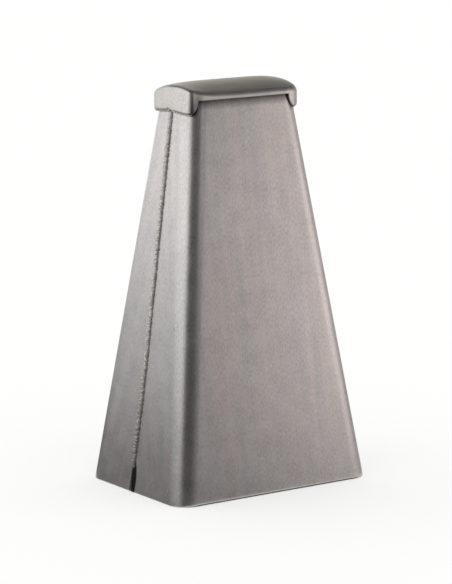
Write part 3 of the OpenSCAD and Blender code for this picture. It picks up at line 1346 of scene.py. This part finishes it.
@dataclass(frozen=True)
class SeamWeld:
    """Weld up the middle of a narrow side: a rippled bead outside, and a fin that fills the gap."""

    side: Side
    sizes: BellSizes
    ripple: Ripple = Ripple(
        pitch=0.8, half_length=1.2, half_width=1.6, half_height=1.2, spread=0.1, wander=0.13, twist=0.1
    )
    seed: int = 10
    levels: int = 40
    # Height at which the bead starts, and the room that it leaves under the cap's skirt
    start: float = 13.0
    room: float = 0.3
    # Thin run that the weld left on the rear sheet's edge below its start: its middle, size and lower end
    run_y: float = 0.65
    run_half: float = 0.45
    run_low: float = 1.2

    @property
    def node(self) -> str:
        """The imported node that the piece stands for."""
        return f"{self.side.name.lower()}_seam_weld"

    def build(self, ripples: RippleTree, finish: bpy.types.Material) -> bpy.types.Object:
        """Lays the bead and adds its fin.

        Args:
            ripples: The tree that lays the bead.
            finish: The weld metal.

        Returns:
            The piece.
        """
        s = self.sizes
        sign = -self.side.value
        outward = tuple(s.side_out * (sign, 1, 1))
        seed = self.seed + self.side.value
        bead_path = self.path(0.0, self.start, s.neck_h - self.room)
        bead = ripples.lay(bead_path, self.ripple.inputs(outward, seed, finish))
        half = self.run_half
        thin = replace(self.ripple, pitch=half, half_length=2 * half, half_width=half, half_height=half)
        run_path = self.path(self.run_y, self.run_low, self.start)
        run = ripples.lay(run_path, thin.inputs(outward, seed, finish))
        piece = add_object(f"{self.side.name.lower()}_seam_bead", bead)
        self.add_fin(piece, sign, run)
        return piece

    def path(self, y: float, low: float, high: float) -> np.ndarray:
        """Path of a run up the outer face of the side.

        Args:
            y: How far the run lies to the rear of the seam's middle.
            low: Height of its lower end.
            high: Height of its upper end.

        Returns:
            Points along the path.
        """
        s = self.sizes
        sign = -self.side.value
        heights = np.linspace(low, high, self.levels)
        return np.array([[sign * s.side_x(0, z), s.seam_y(z) + y, z] for z in heights])

    def add_fin(self, piece: bpy.types.Object, sign: int, run: bpy.types.Mesh) -> None:
        """Adds the fin between the half shells' edges, and the thin run, to the bead's mesh.

        Args:
            piece: The bead.
            sign: 1 on the left, and -1 on the right.
            run: The thin run below the bead.
        """
        s = self.sizes
        half = s.seam_gap / 2
        section = ((0, -half), (0, half), (s.sheet, half), (s.sheet, -half))
        corners = [
            (sign * s.side_x(depth, z) * MM, (s.seam_y(z) + y) * MM, z * MM)
            for z in np.linspace(self.start, s.shell_h, self.levels)
            for depth, y in section
        ]
        shaped = bmesh.new()
        made = [shaped.verts.new(corner) for corner in corners]
        rings = ring_faces(self.levels, len(section))
        rings += [tuple(range(len(section))), tuple(range(len(corners) - len(section), len(corners)))]
        faces = [shaped.faces.new([made[i] for i in face]) for face in rings]
        bmesh.ops.recalc_face_normals(shaped, faces=faces)
        shaped.from_mesh(piece.data)
        shaped.from_mesh(run)
        shaped.to_mesh(piece.data)
        shaped.free()

    def dress(self, piece: bpy.types.Object) -> None:
        """Hands the piece over. Its finish came with its ripples."""
        hand_over(piece, Slot.WELD, self.node)


@dataclass(frozen=True)
class SkirtWeld:
    """Thin uneven weld under a skirt, which fixes the cap to the shell."""

    side: Side
    cap: Cap
    ripple: Ripple = Ripple(
        pitch=0.8, half_length=0.75, half_width=0.55, half_height=0.6, spread=0.35, wander=0.22, twist=0.5
    )
    seed: int = 20
    # Angle round the corners at which the weld ends, and how far its middle lies below the skirt's edge
    reach: float = 34.0
    drop: float = 0.15
    steps: int = 48

    @property
    def node(self) -> str:
        """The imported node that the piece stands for."""
        return f"{self.side.name.lower()}_skirt_weld"

    def path(self) -> np.ndarray:
        """Path of the weld along the skirt's lower edge, round its corners and across its flat.

        Returns:
            Points along the path.
        """
        s = self.cap.sizes
        sign = self.side.value
        ahead = 0.0 if self.side is Side.RIGHT else math.pi
        x, rear = self.cap.centre(sign, 1)
        front = self.cap.centre(sign, -1)[1]
        turns = [math.radians(self.reach) * k / self.steps for k in range(self.steps + 1)]
        spots = [(x, rear, ahead + sign * turn) for turn in reversed(turns)]
        spots += [(x, rear + (front - rear) * k / self.steps, ahead) for k in range(1, self.steps)]
        spots += [(x, front, ahead - sign * turn) for turn in turns]
        inset = s.cap_sheet + s.cap_fit / 2
        return np.array([(*self.cap.in_plan(spot, inset), self.cap.edge(spot) - self.drop) for spot in spots])

    def build(self, ripples: RippleTree, finish: bpy.types.Material) -> bpy.types.Object:
        """Lays the weld.

        Args:
            ripples: The tree that lays it.
            finish: The weld metal.

        Returns:
            The piece.
        """
        outward = (float(self.side.value), 0.0, 0.0)
        values = self.ripple.inputs(outward, self.seed + self.side.value, finish)
        return add_object(f"{self.side.name.lower()}_skirt_bead", ripples.lay(self.path(), values))

    def dress(self, piece: bpy.types.Object) -> None:
        """Hands the piece over. Its finish came with its ripples."""
        hand_over(piece, Slot.WELD, self.node)


@dataclass(frozen=True)
class LightPanel:
    """Lit stretch of the light tent. Azimuths are degrees from -X towards -Y, and heights are millimetres.

    Its light rises from the foot to its full level, and above that fades to the level at its head.
    """

    name: str
    # Azimuths between which it is lit, and how far its soft edges reach on either side of them
    start: float
    end: float
    edge: float
    # Light at the foot, the full level, and the height at which that is reached
    foot: float
    level: float
    rise: float
    # Light at the head, and the heights between which it fades to that
    head: float
    fade: Pair
    tint: str = "#ffffff"
    # Height at which the rise starts
    low: float = 0.0

    def light(self, tree: Tree, azimuth: Socket, height: Socket) -> Socket:
        """Adds the panel's nodes.

        Args:
            tree: The tent's tree.
            azimuth: Direction round the bell, in degrees.
            height: Height above the floor, in millimetres.

        Returns:
            The panel's light.
        """
        middle, half = (self.start + self.end) / 2, (self.end - self.start) / 2
        offset = add_node(tree, "ShaderNodeMath", {0: azimuth, 1: middle}, operation="SUBTRACT").outputs[0]
        turned = add_node(
            tree, "ShaderNodeMath", {0: offset, 1: 180.0, 2: -180.0}, operation="WRAP"
        ).outputs[0]
        away = add_node(tree, "ShaderNodeMath", {0: turned}, operation="ABSOLUTE").outputs[0]
        near, far = half - self.edge, half + self.edge
        inside = add_node(
            tree, "ShaderNodeMapRange",
            {"Value": away, "From Min": near, "From Max": far, "To Min": 1.0, "To Max": 0.0},
            interpolation_type="SMOOTHSTEP",
        ).outputs["Result"]
        lower = add_node(
            tree, "ShaderNodeMapRange",
            {
                "Value": height, "From Min": self.low, "From Max": self.rise,
                "To Min": self.foot, "To Max": self.level,
            },
        ).outputs["Result"]
        above = add_node(
            tree, "ShaderNodeMapRange", {"Value": height, "From Min": self.fade[0], "From Max": self.fade[1]},
            interpolation_type="SMOOTHSTEP",
        ).outputs["Result"]
        level = add_node(
            tree, "ShaderNodeMix", {0: above, 2: lower, 3: self.head}, data_type="FLOAT"
        ).outputs[0]
        strength = add_node(tree, "ShaderNodeMath", {0: inside, 1: level}, operation="MULTIPLY").outputs[0]
        return add_node(
            tree, "ShaderNodeVectorMath", {0: linear(self.tint)[:3], "Scale": strength}, operation="SCALE",
            label=self.name,
        ).outputs["Vector"]


def tent_cloth(name: str, panels: tuple[LightPanel, ...]) -> bpy.types.Material:
    """Makes the light tent's cloth, which shines as its panels say.

    Args:
        name: The material's name.
        panels: The lit stretches, whose light adds up.

    Returns:
        The material.
    """
    material, tree = blank_material(name)
    place = add_node(tree, "ShaderNodeTexCoord").outputs["Object"]
    inwards = add_node(
        tree, "ShaderNodeVectorMath", {0: place, 1: (-1.0, -1.0, 1.0 / MM)}, operation="MULTIPLY"
    ).outputs["Vector"]
    parts = add_node(tree, "ShaderNodeSeparateXYZ", {"Vector": inwards}).outputs
    turn = add_node(tree, "ShaderNodeMath", {0: parts["Y"], 1: parts["X"]}, operation="ARCTAN2").outputs[0]
    azimuth = add_node(tree, "ShaderNodeMath", {0: turn}, operation="DEGREES").outputs[0]
    total = (0.0, 0.0, 0.0)
    for panel in panels:
        lit = panel.light(tree, azimuth, parts["Z"])
        total = add_node(tree, "ShaderNodeVectorMath", {0: lit, 1: total}, operation="ADD").outputs["Vector"]
    shader = add_node(tree, "ShaderNodeEmission", {"Color": total, "Strength": 1.0}).outputs["Emission"]
    add_node(tree, "ShaderNodeOutputMaterial", {"Surface": shader})
    material.cycles.emission_sampling = "NONE"
    return material


@dataclass(frozen=True)
class Studio:
    """Pale floor, even light, and a small light tent round the bell that only its reflections show."""

    sizes: BellSizes
    floor_r: float = 6000.0
    floor_steps: int = 64
    floor: str = "#f2f2f1"
    floor_rough: float = 0.9
    # Strength of the even light, and of the floor's own light where it is looked at
    daylight: float = 0.6
    lift: float = 0.47
    tent_r: float = 300.0
    tent_h: float = 560.0
    tent_steps: int = 96
    # Rows of the tent's wall and of its roof
    tent_rows: int = 8
    wall: tuple[LightPanel, ...] = (
        LightPanel(
            "all round", start=-200, end=200, edge=1,
            foot=0.08, level=0.17, rise=250, head=0.12, fade=(300, 500),
        ),
        LightPanel(
            "left diffuser", start=-112, end=27, edge=14,
            foot=0.27, level=0.96, rise=150, head=0.1, fade=(240, 400),
        ),
        LightPanel(
            "left strip", start=-50, end=27, edge=9,
            foot=0.04, level=0.3, rise=190, head=0.0, fade=(300, 500),
        ),
        LightPanel(
            "front right wall", start=100, end=225, edge=36,
            foot=0.4, level=0.505, rise=50, head=0.03, fade=(150, 400), tint="#fff5f3",
        ),
        LightPanel(
            "front upper wall", start=82, end=100, edge=8,
            foot=0.0, level=0.3, rise=190, head=0.0, fade=(300, 430), tint="#fffaf8", low=130,
        ),
        LightPanel(
            "right strip", start=126, end=166, edge=12,
            foot=0.46, level=0.62, rise=70, head=0.0, fade=(150, 400), tint="#fff5f3",
        ),
        LightPanel(
            "rear wall", start=218, end=262, edge=20,
            foot=0.36, level=0.41, rise=100, head=0.21, fade=(230, 400), tint="#fff9ea",
        ),
    )
    # Grey cards on the tent's floor
    card: tuple[LightPanel, ...] = (
        LightPanel(
            "left card", start=-200, end=200, edge=1,
            foot=0.24, level=0.24, rise=100, head=0.24, fade=(300, 500),
        ),
        LightPanel(
            "front card", start=110, end=250, edge=22,
            foot=0.26, level=0.26, rise=100, head=0.26, fade=(300, 500), tint="#fff5f3",
        ),
    )
    # How far they start from the mouth on its left and on its other sides, and their height above the floor
    card_left: float = 0.3
    card_room: float = 7.0
    card_lift: float = 0.2

    def build(self) -> None:
        """Builds the floor, the light and the tent."""
        world = bpy.data.worlds.new("even_light")
        world.use_nodes = True
        sky = world.node_tree.nodes["Background"].inputs
        sky["Color"].default_value = (1.0, 1.0, 1.0, 1.0)
        sky["Strength"].default_value = self.daylight
        bpy.context.scene.world = world
        self.build_floor()
        self.build_tent()
        self.build_card()

    def build_floor(self) -> None:
        """Adds the floor: white paper that keeps the bell's shadow, and that is clear from below."""
        corners = [(*self.rim_place(turn, self.floor_r), 0.0) for turn in self.around(self.floor_steps)]
        floor = mesh_piece("floor", np.array(corners), [tuple(range(self.floor_steps))])
        material, tree = blank_material("matte_white_paper")
        path = add_node(tree, "ShaderNodeLightPath").outputs
        direct = add_node(
            tree, "ShaderNodeMath", {0: path["Is Camera Ray"], 1: path["Is Glossy Ray"]}, operation="MAXIMUM"
        ).outputs[0]
        seen = add_node(
            tree, "ShaderNodeMath", {0: direct, 1: path["Is Transmission Ray"]}, operation="MAXIMUM"
        ).outputs[0]
        lifted = add_node(tree, "ShaderNodeMath", {0: seen, 1: self.lift}, operation="MULTIPLY").outputs[0]
        shader = add_node(
            tree, "ShaderNodeBsdfPrincipled",
            {
                "Base Color": linear(self.floor), "Roughness": self.floor_rough, "Specular IOR Level": 0.0,
                "Emission Color": (1.0, 1.0, 1.0, 1.0), "Emission Strength": lifted,
            },
        ).outputs["BSDF"]
        behind = add_node(tree, "ShaderNodeNewGeometry").outputs["Backfacing"]
        clear = add_node(tree, "ShaderNodeBsdfTransparent").outputs["BSDF"]
        sheet = add_node(tree, "ShaderNodeMixShader", {0: behind, 1: shader, 2: clear}).outputs["Shader"]
        add_node(tree, "ShaderNodeOutputMaterial", {"Surface": sheet})
        floor.data.materials.append(material)

    @staticmethod
    def around(steps: int) -> list[float]:
        """Directions once round, in equal steps."""
        return [math.tau * k / steps for k in range(steps)]

    @staticmethod
    def rim_place(turn: float, radius: float) -> Pair:
        """Place in plan on a circle round the bell's middle."""
        return radius * math.cos(turn), radius * math.sin(turn)

    def build_tent(self) -> None:
        """Adds the light tent: a round wall with a domed roof, which the camera looks through."""
        profile = [(self.tent_r, self.tent_h * k / self.tent_rows) for k in range(self.tent_rows + 1)]
        for rise in quarter_turn(self.tent_rows)[1:-1]:
            radius, height = self.rim_place(rise, self.tent_r)
            profile.append((radius, self.tent_h + height))
        around = self.around(self.tent_steps)
        points = [(*self.rim_place(turn, radius), z) for radius, z in profile for turn in around]
        faces = ring_faces(len(profile), self.tent_steps)
        faces.append(tuple(range((len(profile) - 1) * self.tent_steps, len(points))))
        tent = mesh_piece("light_tent", np.array(points), faces)
        tent.data.materials.append(tent_cloth("lit_diffuser_cloth", self.wall))
        self.hide(tent)

    def build_card(self) -> None:
        """Adds the grey cards that cover the tent's floor, except for the paper next to the mouth."""
        s = self.sizes
        around = self.around(self.tent_steps)
        inner = []
        for turn in around:
            x, y = self.rim_place(turn, 1.0)
            side = s.mouth_w / 2 + (self.card_left if x < 0 else self.card_room)
            front = s.mouth_d / 2 + self.card_room
            reach = min(gap / abs(way) for gap, way in ((side, x), (front, y)) if way)
            inner.append((reach * x, reach * y, self.card_lift))
        outer = [(*self.rim_place(turn, self.tent_r), self.card_lift) for turn in around]
        card = mesh_piece("tent_floor_cards", np.array(inner + outer), ring_faces(2, self.tent_steps))
        card.data.materials.append(tent_cloth("grey_card", self.card))
        self.hide(card)

    @staticmethod
    def hide(screen: bpy.types.Object) -> None:
        """Leaves a screen to the reflections alone.

        Args:
            screen: The tent or its cards.
        """
        screen.visible_camera = False
        screen.visible_diffuse = False
        screen.visible_shadow = False


@dataclass(frozen=True)
class Viewpoint:
    """Camera at the photograph's viewing angle. Angles are degrees and lengths millimetres."""

    azimuth: float = -34.15
    elevation: float = 10.42
    roll: float = -0.433
    distance: float = 1441.5
    aim_right: float = -0.84
    aim_height: float = 93.7
    focal_px: float = 2909.6
    frame_px: float = 584.0
    sensor: float = 36.0

    def build(self) -> None:
        """Adds the camera and makes it the scene's."""
        turn, rise = math.radians(self.azimuth), math.radians(self.elevation)
        right = Vector((math.cos(turn), math.sin(turn), 0.0))
        back = Vector((math.sin(turn) * math.cos(rise), -math.cos(turn) * math.cos(rise), math.sin(rise)))
        aim = right * self.aim_right + Vector((0.0, 0.0, self.aim_height))
        lens = bpy.data.cameras.new("photo_camera")
        lens.sensor_width = self.sensor
        lens.lens = self.focal_px / self.frame_px * self.sensor
        camera = add_object("photo_camera", lens)
        axes = Matrix((right, back.cross(right), back)).transposed().to_4x4()
        stand = Matrix.Translation((aim + back * self.distance) * MM)
        camera.matrix_world = stand @ axes @ Matrix.Rotation(math.radians(self.roll), 4, "Z")
        bpy.context.scene.camera = camera


def main() -> None:
    """Builds the camera, the bell's pieces and the studio."""
    logging.basicConfig(level=logging.INFO, format="%(name)s: %(message)s")
    bpy.context.scene.view_settings.view_transform = "Standard"
    Viewpoint().build()
    sizes = BellSizes.from_frame()
    cap = Cap(sizes)
    sheet = ShellSteel().material()
    for facing in Facing:
        shell = HalfShell(facing, sizes, cap)
        shell.dress(shell.build(), sheet)
    cap.dress(cap.build(), CapSteel().material(sizes))
    ripples = RippleTree()
    weld_metal = WeldMetal().material()
    for side in Side:
        seam = SeamWeld(side, sizes)
        seam.dress(seam.build(ripples, weld_metal))
        skirt = SkirtWeld(side, cap)
        skirt.dress(skirt.build(ripples, weld_metal))
    Studio(sizes).build()


if __name__ == "__main__":
    main()
